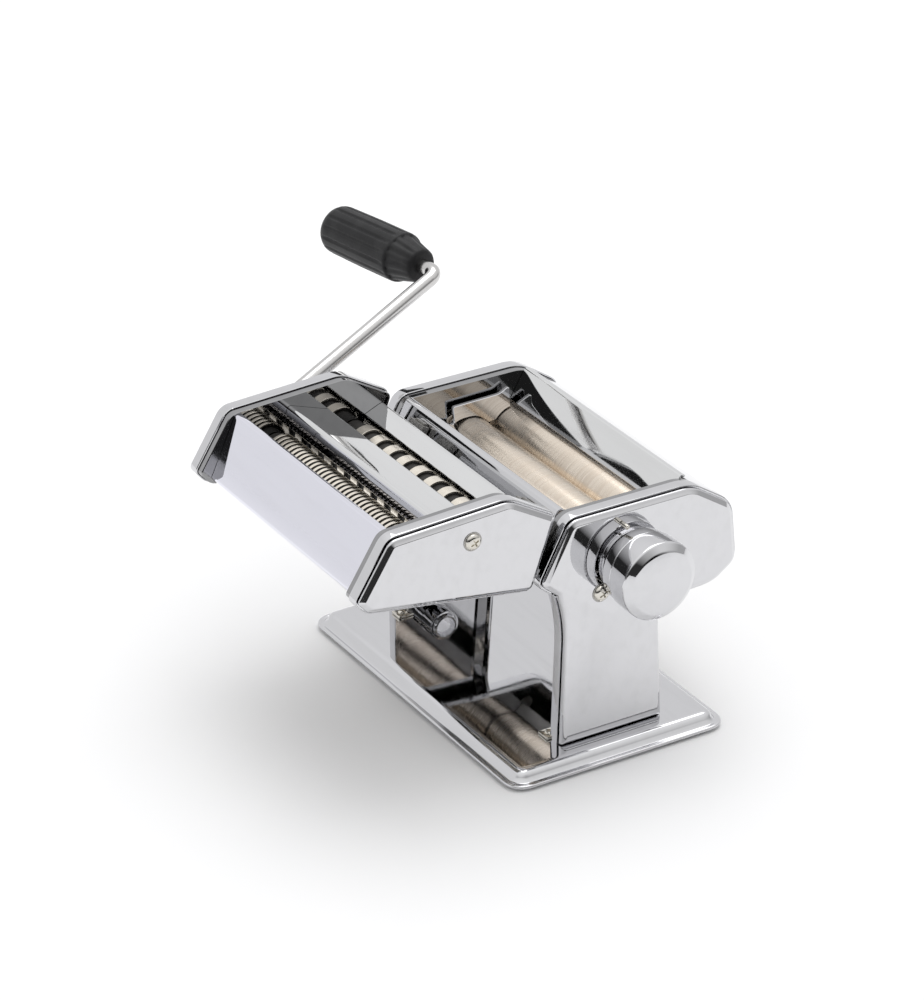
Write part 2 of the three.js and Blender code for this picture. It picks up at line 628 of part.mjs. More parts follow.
function crank() {
  const [lean, rise] = [CRANK.lean, CRANK.rise].map(THREE.MathUtils.degToRad);
  const axis = [NARROW.y + NARROW.pitch, NARROW.z];
  const hub = new THREE.Vector3(-CRANK.hub, ...axis);
  const upwards = new THREE.Vector3(0, Math.cos(rise), Math.sin(rise));
  const outwards = new THREE.Vector3(-1, 0, 0);
  const arm = upwards.clone().multiplyScalar(Math.cos(lean)).addScaledVector(outwards, Math.sin(lean));
  const handle = outwards.multiplyScalar(Math.cos(lean)).addScaledVector(upwards, -Math.sin(lean));
  const elbow = hub.clone().addScaledVector(arm, CRANK.arm);
  const tip = elbow.clone().addScaledVector(handle, CRANK.grip - 12);
  const gripStart = elbow.clone().addScaledVector(handle, CRANK.bend - 0.4);
  const start = hub.clone().setX(-SOCKET.mouth + 2);
  const rod = bentRod([start, hub, elbow, gripStart], CRANK.radius, CRANK.bend * 0.45);
  const pin = straightPin(gripStart, tip, 3);
  const plug = hexagon(SOCKET.plug, -SOCKET.mouth - 1, -SOCKET.floor - 1, ...axis);
  const shoulderCut = bar(7, -SOCKET.mouth - GAP, -60, ...axis);
  const rodSolid = carve([carve([rod], [shoulderCut]), pin, plug]);
  const [near, bore, end] = [CRANK.bend + 0.5, 3.6, CRANK.grip];
  const profile = [
    [near, bore], [near, 8], [14, 9.6], [28, 12.6], [29, 13.6], [82, 13.2], [87, 9.6],
    [end, 0], [end - 8, 0], [end - 8, bore], [near, bore],
  ].map(([along, radius]) => new THREE.Vector2(radius, along));
  const turn = new THREE.Quaternion().setFromUnitVectors(new THREE.Vector3(0, 1, 0), handle);
  const grip = new THREE.LatheGeometry(profile, 20);
  grip.applyQuaternion(turn).translate(elbow.x, elbow.y, elbow.z);
  return [piece("crank_rod", rodSolid, nickel), piece("crank_grip", grip, plastic)];
}

/** A straight round pin between two points. */
function straightPin(from, to, radius) {
  const along = to.clone().sub(from);
  const up = new THREE.Vector3(0, 1, 0);
  const turn = new THREE.Quaternion().setFromUnitVectors(up, along.clone().normalize());
  const pin = new THREE.CylinderGeometry(radius, radius, along.length() + 1, 16);
  pin.applyQuaternion(turn);
  const middle = from.clone().add(to).multiplyScalar(0.5);
  return pin.translate(middle.x, middle.y, middle.z);
}

// ---------------------------------------------------------------- assembly
const machine = new THREE.Group();
machine.add(
  basePan(),
  ...feet(),
  ...sidePlates(),
  ...bearingPlates(),
  clampBush(),
  panScrew("near_plate_screw", SCREW),
  mirrored("far_plate_screw", panScrew("plate_screw", SCREW)),
  ...hopper(),
  ...endGuards(),
  scraper("rear_scraper", REAR_AXIS.y, 1, SHEET.half),
  scraper("front_scraper", ROLLER.y, -1, 73.4),
  smoothRoller("front_roller", ROLLER.y, 77.5, GEAR.outer + 0.3),
  smoothRoller("rear_roller", REAR_AXIS.y, 76, GEAR.outer + 0.3),
  ...rollerGears(),
  ...carriers(),
  camDisc(),
  ...knob(),
  ...headPlates(),
  ...headPanels(),
  ...cutterPair("narrow", NARROW, false, -1),
  ...cutterPair("wide", WIDE, true, 1),
  ...combs(),
  ...guides(),
  panScrew("near_cutter_screw", HEAD_SCREW),
  mirrored("far_cutter_screw", panScrew("cutter_screw", HEAD_SCREW)),
  ...crank(),
);

// The origin is the middle of the whole machine's box, at the height of the feet.
const box = new THREE.Box3().setFromObject(machine, true);
const middle = box.getCenter(new THREE.Vector3());
machine.position.set(-middle.x, -middle.y, -box.min.z);

export default machine;
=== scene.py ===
"""Looks of a hand-cranked pasta machine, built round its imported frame.

Sizes are in millimetres from the middle of the base: +X runs along the rollers to the gap
knob, +Y from the cutter head to the rear of the hopper, and +Z up.
"""

import json
import logging
import math
from collections.abc import Iterable, Sequence
from dataclasses import dataclass, field
from enum import Enum
from itertools import pairwise
from typing import Any

import bmesh
import bpy
from mathutils import Matrix, Vector


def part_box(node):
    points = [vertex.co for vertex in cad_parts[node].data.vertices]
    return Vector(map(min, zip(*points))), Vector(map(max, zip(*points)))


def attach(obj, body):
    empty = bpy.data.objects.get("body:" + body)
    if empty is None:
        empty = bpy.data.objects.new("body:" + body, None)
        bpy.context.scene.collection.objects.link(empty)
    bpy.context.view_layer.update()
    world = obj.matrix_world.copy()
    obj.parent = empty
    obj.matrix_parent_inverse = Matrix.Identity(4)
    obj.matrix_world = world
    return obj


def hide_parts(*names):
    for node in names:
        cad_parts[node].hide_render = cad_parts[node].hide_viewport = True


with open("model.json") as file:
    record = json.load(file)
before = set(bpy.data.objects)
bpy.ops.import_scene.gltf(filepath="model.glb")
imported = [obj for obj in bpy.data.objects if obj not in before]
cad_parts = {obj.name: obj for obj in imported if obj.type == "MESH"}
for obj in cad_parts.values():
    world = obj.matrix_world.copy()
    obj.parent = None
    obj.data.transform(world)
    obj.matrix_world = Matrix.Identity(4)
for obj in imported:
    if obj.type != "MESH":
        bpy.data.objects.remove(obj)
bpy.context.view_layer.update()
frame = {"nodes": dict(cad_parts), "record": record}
LOG = logging.getLogger("pasta_machine")

Colour = tuple[float, float, float]
Point = tuple[float, float]
Corner = tuple[float, float, float]
Outline = Sequence[Corner]


def base_in_frame() -> Matrix:
    """The matrix from millimetres round the base's middle to the frame's metres."""
    low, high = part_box("base_pan")
    middle = (low + high) / 2
    return Matrix.Translation((middle.x, middle.y, 0)) @ Matrix.Scale(0.001, 4)


TO_FRAME = base_in_frame()
MIRROR = Matrix.Scale(-1, 4, (1, 0, 0))


class End(Enum):
    """The two ends of the machine, by the sign of X."""

    NEAR = 1
    FAR = -1


class Joining(Enum):
    """How one closed form acts on another."""

    UNION = "UNION"
    CUT = "DIFFERENCE"


# ------------------------------------------------------------------ shader graphs
class Value:
    """A number in a node tree that takes part in Python expressions."""

    def __init__(self, graph: "Graph", socket: bpy.types.NodeSocket) -> None:
        """Wraps an output socket of a graph."""
        self.graph = graph
        self.socket = socket

    def _math(self, operation: str, first: Any, second: Any = 0.0) -> "Value":
        """One Math node on two values or numbers."""
        inputs = {0: first, 1: second}
        node = self.graph.add("ShaderNodeMath", {"operation": operation}, inputs)
        return Value(self.graph, node.outputs[0])

    def __add__(self, other: Any) -> "Value":
        """self + other."""
        return self._math("ADD", self, other)

    def __sub__(self, other: Any) -> "Value":
        """self - other."""
        return self._math("SUBTRACT", self, other)

    def __rsub__(self, other: Any) -> "Value":
        """other - self."""
        return self._math("SUBTRACT", other, self)

    def __mul__(self, other: Any) -> "Value":
        """self * other."""
        return self._math("MULTIPLY", self, other)

    def __pow__(self, other: Any) -> "Value":
        """self ** other."""
        return self._math("POWER", self, other)

    __radd__ = __add__
    __rmul__ = __mul__

    def clamped(self) -> "Value":
        """The value kept between 0 and 1."""
        return self._math("MINIMUM", self._math("MAXIMUM", self, 0.0), 1.0)


class Graph:
    """The node tree of a material or of the world."""

    def __init__(self, tree: bpy.types.NodeTree) -> None:
        """Starts from an emptied tree."""
        self.tree = tree
        tree.nodes.clear()

    def add(
        self,
        kind: str,
        settings: dict[str, Any] | None = None,
        inputs: dict[str | int, Any] | None = None,
    ) -> bpy.types.Node:
        """Adds a node.

        Args:
            kind: the node's type.
            settings: its properties, or a ramp's stops, which are set first.
            inputs: a value, socket or Value for each named or numbered socket.

        Returns:
            The new node.
        """
        node = self.tree.nodes.new(kind)
        for name, value in (settings or {}).items():
            if name != "stops":
                setattr(node, name, value)
                continue
            elements = node.color_ramp.elements
            elements.remove(elements[1])
            elements[0].position, elements[0].color = value[0][0], (*value[0][1], 1.0)
            for position, colour in value[1:]:
                elements.new(position).color = (*colour, 1.0)
        for name, value in (inputs or {}).items():
            socket = node.inputs[name]
            if isinstance(value, Value):
                value = value.socket
            if isinstance(value, bpy.types.NodeSocket):
                self.tree.links.new(value, socket)
            else:
                socket.default_value = value
        return node

    def noise(self, scale: tuple[float, float, float], detail: float = 2.0) -> Value:
        """Noise on Object coordinates.

        Args:
            scale: cycles to the metre along each axis.
            detail: octaves of finer noise.

        Returns:
            The noise, from 0 to 1.
        """
        place = self.add("ShaderNodeTexCoord").outputs["Object"]
        mapped = self.add("ShaderNodeMapping", None, {"Vector": place, "Scale": scale})
        inputs = {"Vector": mapped.outputs[0], "Scale": 1.0, "Detail": detail}
        return Value(self, self.add("ShaderNodeTexNoise", None, inputs).outputs[0])

    def blend(self, share: Value, low: Colour, high: Colour) -> bpy.types.NodeSocket:
        """A colour between low and high."""
        inputs = {0: share.clamped(), 6: (*low, 1.0), 7: (*high, 1.0)}
        return self.add("ShaderNodeMix", {"data_type": "RGBA"}, inputs).outputs[2]

    def relief(self, height: Value, depth: float) -> bpy.types.NodeSocket:
        """A bumped normal; depth is the height of the relief in metres."""
        inputs = {"Strength": 1.0, "Distance": depth, "Height": height}
        return self.add("ShaderNodeBump", None, inputs).outputs["Normal"]

    def surface(self, inputs: dict[str | int, Any]) -> None:
        """Ends a material in a principled shader with these inputs."""
        shader = self.add("ShaderNodeBsdfPrincipled", None, inputs)
        self.add("ShaderNodeOutputMaterial", None, {"Surface": shader.outputs[0]})


@dataclass(frozen=True)
class Finish:
    """A finish of the machine; each kind lays its own nodes."""

    title: str
    slot: str

    def lay(self, graph: Graph) -> None:
        """Lays the nodes of this finish."""
        raise NotImplementedError

    def material(self) -> bpy.types.Material:
        """The Blender material of this finish, made once."""
        made = bpy.data.materials.get(self.title)
        if made is None:
            made = bpy.data.materials.new(self.title)
            made.use_nodes = True
            self.lay(Graph(made.node_tree))
        return made


@dataclass(frozen=True)
class Plating(Finish):
    """Mirror plating with slow waves, faint clouding and wipe marks."""

    tint: Colour = (0.67, 0.67, 0.685)
    cloud: Colour = (0.60, 0.60, 0.61)
    gloss: float = 0.035
    haze: float = 0.07
    wave: float = 0.00012

    def lay(self, graph: Graph) -> None:
        """Lays clouded plating."""
        cloud = graph.noise((28, 36, 36), 4)
        wipe = graph.noise((22, 190, 150), 3)
        grain = graph.noise((1400, 1400, 1400), 1)
        waves = graph.noise((20, 26, 26), 1)
        dull = ((wipe - 0.45) * 3.0).clamped() * cloud
        graph.surface(
            {
                "Base Color": graph.blend(dull * 0.8 + grain * 0.1, self.tint, self.cloud),
                "Metallic": 1.0,
                "Roughness": self.gloss + dull * self.haze,
                "Normal": graph.relief(waves + grain * 0.004, self.wave),
            }
        )


@dataclass(frozen=True)
class Turned(Finish):
    """Satin metal with fine lines left by turning about X."""

    tint: Colour = (0.80, 0.72, 0.62)
    groove: Colour = (0.58, 0.49, 0.40)
    gloss: float = 0.22
    pitch: float = 0.0011

    def lay(self, graph: Graph) -> None:
        """Lays fine turning lines."""
        lines = graph.noise((1 / self.pitch, 9, 9), 3)
        bands = graph.noise((60, 8, 8), 2)
        depth = ((lines - 0.42) * 2.6).clamped()
        graph.surface(
            {
                "Base Color": graph.blend(depth * 0.55 + bands * 0.35, self.tint, self.groove),
                "Metallic": 1.0,
                "Roughness": self.gloss + depth * 0.12 + bands * 0.06,
                "Normal": graph.relief(1 - depth, 0.00001),
            }
        )


@dataclass(frozen=True)
class Ringed(Turned):
    """Satin rings on a core painted near-black as shade between the rings, told apart by their distance
    from the axis.
    """

    y: float = 0.0
    z: float = 0.0
    edge: float = 0.0088
    # core: near-black painted shade for the grooves between the rings
    core: Colour = (0.02, 0.018, 0.016)

    def lay(self, graph: Graph) -> None:
        """Lays bright rings, and grooves painted dark as shade."""
        place = graph.add("ShaderNodeTexCoord").outputs["Object"]
        axes = graph.add("ShaderNodeSeparateXYZ", None, {0: place})
        y, z = (Value(graph, socket) for socket in axes.outputs[1:])
        across = ((y - self.y) ** 2 + (z - self.z) ** 2) ** 0.5
        # bright is 1 on the rings and 0 on the core, which gets the painted shade
        bright = ((across - self.edge) * 6000).clamped()
        lines = graph.noise((1 / self.pitch, 9, 9), 3)
        stain = graph.noise((160, 160, 160), 3)
        satin = graph.blend((lines - 0.35) * 1.4 + stain * 0.2, self.tint, self.groove)
        inputs = {0: bright, 6: (*self.core, 1.0), 7: satin}
        colour = graph.add("ShaderNodeMix", {"data_type": "RGBA"}, inputs).outputs[2]
        graph.surface(
            {
                "Base Color": colour,
                "Metallic": bright,
                "Roughness": 0.62 - bright * (0.62 - self.gloss) + lines * 0.08,
                "Normal": graph.relief(lines, 0.000008),
            }
        )


@dataclass(frozen=True)
class Brushed(Finish):
    """Plain machined steel with brushed streaks and slight staining."""

    tint: Colour = (0.46, 0.45, 0.43)
    stain: Colour = (0.24, 0.23, 0.22)
    gloss: float = 0.28

    def lay(self, graph: Graph) -> None:
        """Lays brushed streaks."""
        streak = graph.noise((120, 120, 1900), 3)
        stain = graph.noise((70, 70, 70), 4)
        worn = ((stain - 0.4) * 2.5).clamped()
        graph.surface(
            {
                "Base Color": graph.blend(worn * 0.6 + streak * 0.25, self.tint, self.stain),
                "Metallic": 1.0,
                "Roughness": self.gloss + streak * 0.18,
                "Normal": graph.relief(streak, 0.000015),
            }
        )


@dataclass(frozen=True)
class Moulded(Finish):
    """Moulded rubber or plastic with a fine grain and a little dust."""

    tint: Colour = (0.012, 0.012, 0.013)
    dust: Colour = (0.035, 0.035, 0.036)
    gloss: float = 0.34
    grain: float = 0.00006

    def lay(self, graph: Graph) -> None:
        """Lays grain and dust."""
        speck = graph.noise((1500, 1500, 1500), 2)
        dust = graph.noise((90, 90, 90), 4)
        graph.surface(
            {
                "Base Color": graph.blend((dust - 0.45) * 2.2, self.tint, self.dust),
                "Roughness": self.gloss + speck * 0.16 + dust * 0.08,
                "Specular IOR Level": 0.28,
                "Normal": graph.relief(speck, self.grain),
            }
        )


CHROME = Plating("chrome plate", "chrome_plate")
# A lighter, bluish copy of the chrome plating: painted light and painted reflected tint on the cutter's
# front panel.
LIT_BLUISH_CHROME = Plating(
    "panel chrome", "chrome_plate", tint=(0.80, 0.80, 0.87), cloud=(0.74, 0.74, 0.80)
)
# A lighter copy of the chrome plating: painted light for the rear hopper panel and the cutter's ridge and
# rear panel.
LIT_CHROME = Plating(
    "bright panel", "chrome_plate", tint=(0.76, 0.765, 0.765), cloud=(0.70, 0.70, 0.70)
)
# A darker copy of the chrome plating: painted shade for the bearing walls deep inside the end plates.
SHADED_CHROME = Plating(
    "inner wall chrome", "chrome_plate", tint=(0.36, 0.36, 0.365), cloud=(0.30, 0.30, 0.31)
)
ROD = Plating(
    "rod plate", "nickel_plate", tint=(0.62, 0.61, 0.60), gloss=0.16, haze=0.14, wave=0.00003
)
NICKEL = Plating(
    "screw nickel", "nickel_plate", tint=(0.70, 0.67, 0.60), gloss=0.12, haze=0.12, wave=0.00002
)
ROLLER = Turned("roller satin", "roller_satin")
STEEL = Brushed("machined steel", "bright_steel")
RUBBER = Moulded("rubber", "rubber", gloss=0.72, grain=0.0001)
GRIP = Moulded("grip plastic", "black_plastic")


# ------------------------------------------------------------------ outlines
def inset(outline: Outline, distance: float) -> list[Corner]:
    """An outline moved inwards.

    Args:
        outline: (y, z, corner) points in order.
        distance: how far each side moves in.

    Returns:
        The new points, whose corners shrink with them.
    """
    points = [Vector((y, z)) for y, z, _ in outline]
    area = sum(a.cross(b) for a, b in zip(points, points[1:] + points[:1]))
    turn = math.copysign(1, area)
    moved = []
    for i, (before, here) in enumerate(zip(points[-1:] + points[:-1], points)):
        after = points[(i + 1) % len(points)]
        into, out = (here - before).normalized(), (after - here).normalized()
        side_in = Vector((-into.y, into.x)) * turn
        side_out = Vector((-out.y, out.x)) * turn
        shift = (side_in + side_out) / (1 + side_in.dot(side_out)) * distance
        moved.append((*(here + shift), max(outline[i][2] - distance, 0.6)))
    return moved


def rounded(outline: Outline, steps: int = 6) -> list[Point]:
    """The points of an outline with each corner rounded over its own length."""
    points = [Vector((y, z)) for y, z, _ in outline]
    line = []
    for i, corner in enumerate(points):
        reach = max(outline[i][2], 0.02)
        start = corner + (points[i - 1] - corner).normalized() * reach
        end = corner + (points[(i + 1) % len(points)] - corner).normalized() * reach
        for step in range(steps + 1):
            t = step / steps
            point = start * (1 - t) ** 2 + corner * 2 * t * (1 - t) + end * t**2
            line.append((point.x, point.y))
    return line


def folded(line: Sequence[Point], thick: float, bend: float = 1.2) -> list[Corner]:
    """The outline of a bent sheet.

    Args:
        line: the (y, z) points of one face of the sheet.
        thick: the sheet's thickness to the left of the line, or to its right if negative.
        bend: the inner radius of the bends.

    Returns:
        The closed outline with a rounding at each bend.
    """
    points = [Vector(p) for p in line]
    front, back = [], []
    last = len(points) - 1
    for i, here in enumerate(points):
        into = (here - points[i - 1]).normalized() if i else None
        out = (points[i + 1] - here).normalized() if i < last else None
        into, out = into or out, out or into
        left_in, left_out = Vector((-into.y, into.x)), Vector((-out.y, out.x))
        shift = (left_in + left_out) / (1 + left_in.dot(left_out)) * thick
        half = into.angle(out, 0.0) / 2
        inner = (into.cross(out) > 0) == (thick > 0)
        near, far = bend * math.tan(half), (bend + abs(thick)) * math.tan(half)
        edge = 0 < i < last
        front.append((*here, (far if inner else near) if edge else abs(thick) * 0.4))
        back.append((*(here + shift), (near if inner else far) if edge else abs(thick) * 0.4))
    return front + back[::-1]


# ------------------------------------------------------------------ forms
class Form:
    """A closed mesh under construction, in millimetres round the base's middle."""

    def __init__(self) -> None:
        """Starts with nothing."""
        self.bm = bmesh.new()

    def stack(self, rings: Iterable[Iterable[Sequence[float]]]) -> "Form":
        """Skins a stack of like rings and closes both ends."""
        lines = [[self.bm.verts.new(point) for point in points] for points in rings]
        for low, high in pairwise(lines):
            for i, vert in enumerate(low):
                self.bm.faces.new((low[i - 1], vert, high[i], high[i - 1]))
        for line in (lines[0], lines[-1]):
            self.bm.faces.new(line)
        return self

    def pressed(self, outline: Outline, levels: Iterable[Point], steps: int = 6) -> "Form":
        """A pressing along X; each level is (x, how far the outline is inset)."""
        rings = (
            [(x, y, z) for y, z in rounded(inset(outline, depth), steps)] for x, depth in levels
        )
        return self.stack(rings)

    def slab(self, outline: Outline, x0: float, x1: float, edge: float = 0.0) -> "Form":
        """A flat or bent plate between x0 and x1, its rim broken by edge."""
        if edge:
            return self.pressed(outline, ((x0, edge), (x0 + edge, 0), (x1 - edge, 0), (x1, edge)))
        return self.stack([(x, y, z) for y, z in rounded(outline)] for x in (x0, x1))

    def turned(
        self, profile: Sequence[Point], place: Matrix, steps: int = 64, closed: bool = False
    ) -> "Form":
        """A shape turned about the local X axis.

        Args:
            profile: (x, radius) points; an open one starts and ends on the axis.
            place: where the local axes stand.
            steps: how many facets go round.
            closed: whether the profile closes on itself, as a ring's does.

        Returns:
            This form.
        """
        verts = [self.bm.verts.new((x, radius, 0)) for x, radius in profile]
        pairs = zip(verts, verts[1:] + (verts[:1] if closed else []))
        edges = [self.bm.edges.new(pair) for pair in pairs]
        before = set(self.bm.verts) - set(verts)
        bmesh.ops.spin(
            self.bm, geom=verts + edges, cent=(0, 0, 0), axis=(1, 0, 0), dvec=(0, 0, 0),
            angle=math.tau, steps=steps, use_merge=True, use_duplicate=False,
        )
        fresh = [v for v in self.bm.verts if v not in before]
        bmesh.ops.remove_doubles(self.bm, verts=fresh, dist=1e-4)
        fresh = [v for v in self.bm.verts if v not in before]
        bmesh.ops.transform(self.bm, matrix=place, verts=fresh)
        return self

    def block(self, size: Sequence[float], place: Matrix, edge: float = 0.0) -> "Form":
        """A block with its edges broken."""
        made = bmesh.ops.create_cube(self.bm, size=1.0, matrix=place @ Matrix.Diagonal((*size, 1)))
        if edge:
            edges = {e for v in made["verts"] for e in v.link_edges}
            bmesh.ops.bevel(
                self.bm, geom=list(edges), offset=edge, offset_type="OFFSET", segments=2,
                profile=0.5, affect="EDGES", material=-1,
            )
        return self

    def combine(self, other: "Form", how: Joining) -> "Form":
        """Joins this form to another closed one, or cuts it by the other."""
        shells = []
        for part in (self, other):
            bmesh.ops.remove_doubles(part.bm, verts=part.bm.verts, dist=1e-4)
            bmesh.ops.recalc_face_normals(part.bm, faces=part.bm.faces)
            mesh = bpy.data.meshes.new("shell")
            part.bm.to_mesh(mesh)
            part.bm.clear()
            shell = bpy.data.objects.new("shell", mesh)
            bpy.context.scene.collection.objects.link(shell)
            shells.append(shell)
        joint = shells[0].modifiers.new("joint", "BOOLEAN")
        joint.operation, joint.solver, joint.object = how.value, "EXACT", shells[1]
        ready = shells[0].evaluated_get(bpy.context.evaluated_depsgraph_get())
        self.bm.from_mesh(ready.data)
        for shell in shells:
            mesh = shell.data
            bpy.data.objects.remove(shell)
            bpy.data.meshes.remove(mesh)
        return self

    def moved(self, matrix: Matrix) -> "Form":
        """The whole form moved, turned or mirrored."""
        self.bm.transform(matrix)
        return self

    def deliver(
        self, name: str, finish: Finish, body: str, stands_for: Sequence[str] = (),
        sharp: float = 35.0,
    ) -> bpy.types.Object:
        """Finishes the mesh as a named piece.

        Args:
            name: the piece's name.
            finish: its finish.
            body: the body that it rides on.
            stands_for: the frame's nodes that it is shown instead of.
            sharp: edges that turn by more degrees than this stay crisp.

        Returns:
            The new object, with its place in its mesh.
        """
        bmesh.ops.remove_doubles(self.bm, verts=self.bm.verts, dist=1e-4)
        bmesh.ops.recalc_face_normals(self.bm, faces=self.bm.faces)
        self.bm.transform(TO_FRAME)
        mesh = bpy.data.meshes.new(name)
        self.bm.to_mesh(mesh)
        self.bm.free()
        mesh.shade_smooth()
        mesh.set_sharp_from_angle(angle=math.radians(sharp))
        mesh.materials.append(finish.material())
        piece = bpy.data.objects.new(name, mesh)
        bpy.context.scene.collection.objects.link(piece)
        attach(piece, body)
        if stands_for:
            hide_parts(*stands_for)
        LOG.info("%s: %d faces on %s", name, len(mesh.polygons), body)
        return piece


def on_axis(y: float, z: float, x: float = 0.0, end: End = End.NEAR) -> Matrix:
    """A turning axis along X through (y, z), pointing outwards at that end."""
    place = Matrix.Translation((x, y, z))
    return place if end is End.NEAR else MIRROR @ place


def standing(x: float, y: float, z: float) -> Matrix:
    """A turning axis that stands upright."""
    return Matrix.Translation((x, y, z)) @ Matrix.Rotation(-math.pi / 2, 4, "Y")


def rod(radius: float, x0: float, x1: float, y: float, z: float, steps: int = 40) -> Form:
    """A plain round or many-sided bar along X, used to cut holes."""
    profile = [(x0, 0), (x0, radius), (x1, radius), (x1, 0)]
    return Form().turned(profile, on_axis(y, z), steps)


def softened(profile: Sequence[Point], edge: float, closed: bool = False) -> list[Point]:
    """A turned profile with its inner corners rounded over `edge`."""
    points = [Vector(p) for p in profile]
    line: list[Point] = []
    for i, corner in enumerate(points):
        if not closed and i in (0, len(points) - 1):
            line.append((corner.x, corner.y))
            continue
        before, after = points[i - 1] - corner, points[(i + 1) % len(points)] - corner
        reach = min(edge, before.length * 0.45, after.length * 0.45)
        start, end = corner + before.normalized() * reach, corner + after.normalized() * reach
        for t in (0.0, 0.33, 0.67, 1.0):
            point = start * (1 - t) ** 2 + corner * 2 * t * (1 - t) + end * t**2
            line.append((point.x, point.y))
    return line


# ------------------------------------------------------------------ sub-assemblies
FRONT_AXIS: Point = (12.3, 102.7)
REAR_AXIS: Point = (39.9, 102.7)
FRONT_TRAVEL = 2.4
NARROW_AXIS: Point = (-117.8, 127.0)
WIDE_AXIS: Point = (-72.7, 123.0)
CUTTER_PITCH = 18.0
CLAMP_AXIS: Point = (2.0, 24.0)

# The pinion meshes with the rear roller's gear, below it and to the rear.
GEAR_RADIUS, PINION_RADIUS, MESH_SLACK = 13.8, 6.9, 0.8
PINION_ANGLE = math.radians(-50)


def pinion_axis() -> Point:
    """Where the drive pinion turns."""
    reach = GEAR_RADIUS + PINION_RADIUS + MESH_SLACK
    y, z = REAR_AXIS
    return y + reach * math.cos(PINION_ANGLE), z + reach * math.sin(PINION_ANGLE)


BODY_OUTLINE: Outline = (
    (-24, 134.8, 6), (-41, 101.8, 5), (-24, 88, 4), (0, 72, 4), (63.5, 75.2, 6), (77.3, 85, 6),
    (73.5, 118.5, 8), (48.5, 134.8, 8),
)
LEG_OUTLINE: Outline = (
    (-33, 101, 2), (-26, 77, 14), (-27.5, 7.9, 0.3), (34.6, 7.9, 0.3), (31, 66, 4), (36, 90, 2),
    (10, 106, 2),
)
HEAD_OUTLINE: Outline = (
    (-125, 152, 5), (-143.5, 122, 3), (-137, 114.5, 4), (-44.2, 100.7, 5), (-30.5, 139.5, 4),
    (-58, 155.3, 6),
)
FRONT_PANEL: Sequence[Point] = (
    (-132, 113.4), (-136.4, 119), (-122.2, 150.6), (-116.9, 149.3), (-117.5, 143.6),
)
RIDGE: Sequence[Point] = ((-95.6, 139.4), (-91.8, 148), (-67.0, 139.5), (-69.0, 136.0))
REAR_PANEL: Sequence[Point] = ((-47.6, 131.7), (-35.4, 137), (-45.6, 103.4))


@dataclass
class BasePan:
    """The pressed base with its beaded rim, its feet and the tabs that hold the legs."""

    length: float = 200.0
    depth: float = 128.0
    corner: float = 12.0
    levels: tuple[Point, ...] = (
        (6.9, 10.5), (2.4, 9.2), (1.8, 8.4), (1.7, 2.2), (1.55, 1.2), (1.6, 0.45), (1.95, 0.1),
        (2.45, 0.0), (2.95, 0.15), (3.35, 0.6), (3.5, 1.3), (3.35, 2.0), (3.1, 2.5), (3.15, 3.0),
        (3.5, 3.5), (5.6, 4.9), (6.6, 5.4), (7.4, 6.1), (8.0, 7.0), (8.35, 8.0), (8.5, 9.2),
        (8.5, 10.4),
    )
    foot_at: Point = (84.0, 48.0)
    foot_radius: float = 7.0
    tab_y: float = -25.0

    def build(self) -> None:
        """Builds the pan, the feet and the tabs."""
        x, y = self.length / 2, self.depth / 2
        outline = [(-x, -y, self.corner), (x, -y, self.corner), (x, y, self.corner), (-x, y, self.corner)]
        rings = (
            [(px, py, z) for px, py in rounded(inset(outline, depth), 10)]
            for z, depth in self.levels
        )
        Form().stack(rings).deliver("base_pan_shell", CHROME, "frame", ["base_pan"], 50)
        places = ((-1, -1), (1, -1), (1, 1), (-1, 1))
        for number, (sx, sy) in enumerate(places, 1):
            self.foot(number, sx * self.foot_at[0], sy * self.foot_at[1])
        for end in End:
            self.tab(end)

    def foot(self, number: int, x: float, y: float) -> None:
        """A round rubber foot with a hollow under it."""
        r = self.foot_radius
        profile = [(0.5, 0), (0.5, 2.4), (0, 3), (0, r - 0.8), (7.0, r), (7.0, 0)]
        form = Form().turned(softened(profile, 0.5), standing(x, y, 0.0), 48)
        form.deliver(f"foot_pad_{number}", RUBBER, "frame", [f"rubber_foot_{number}"])

    def tab(self, end: End) -> None:
        """A small foot tab with its screw, inside a leg."""
        x = 71.0 * end.value
        place = Matrix.Translation((x, self.tab_y, 9.3))
        form = Form().block((8.0, 9.0, 1.4), place, 0.5)
        head = [(0, 0), (0, 2.7), (0.8, 2.5), (1.5, 1.7), (1.75, 0)]
        form.turned(softened(head, 0.3), standing(x, self.tab_y, 9.8), 28)
        form.deliver(f"leg_tab_{end.name.lower()}", NICKEL, "frame")


